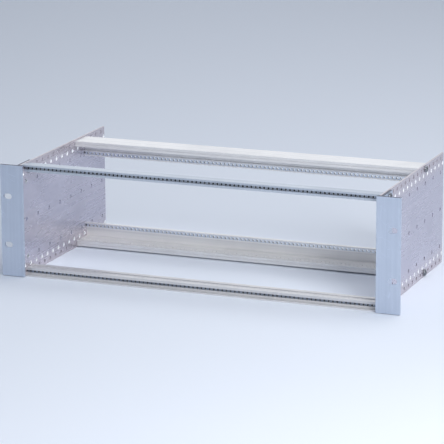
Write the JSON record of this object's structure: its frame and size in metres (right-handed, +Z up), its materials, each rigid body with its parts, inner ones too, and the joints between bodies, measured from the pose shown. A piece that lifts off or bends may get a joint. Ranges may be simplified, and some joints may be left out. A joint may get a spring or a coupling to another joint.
{
  "type": "subrack card cage",
  "caption": "Open aluminium subrack card cage: perforated side plates, rack flanges with slots, and extruded front and rear rails with tapped strips.",
  "frame": {"origin": "centre of the rack slot pattern, on the front face of the rack flanges", "axes": "+X to the right seen from the front, +Y from the flanges towards the back, +Z up"},
  "size_m": [0.4826, 0.2355, 0.1324],
  "materials": {
    "plate_metal": "clear-anodised rolled sheet, satin",
    "bracket_metal": "clear-anodised angle profile, fine satin",
    "rail_metal": "clear-anodised extrusion with fine lengthwise die lines",
    "strip_metal": "bright zinc-plated steel strip",
    "screw_metal": "bright zinc-plated steel"
  },
  "bodies": {
    "root": {"side_plate_left": "plate_metal", "side_plate_right": "plate_metal", "bracket_left": "bracket_metal", "bracket_right": "bracket_metal", "front_rail_top": "rail_metal", "front_rail_bottom": "rail_metal", "rear_rail_top": "rail_metal", "rear_rail_bottom": "rail_metal", "front_strip_top": "strip_metal", "front_strip_bottom": "strip_metal", "rear_strip_top": "strip_metal", "rear_strip_bottom": "strip_metal", "screw_front_top_left": "screw_metal", "screw_front_top_right": "screw_metal", "screw_front_bottom_left": "screw_metal", "screw_front_bottom_right": "screw_metal", "screw_rear_top_left": "screw_metal", "screw_rear_top_right": "screw_metal", "screw_rear_bottom_left": "screw_metal", "screw_rear_bottom_right": "screw_metal", "bracket_rivets_left": "screw_metal", "bracket_rivets_right": "screw_metal"}
  },
  "joints": []
}
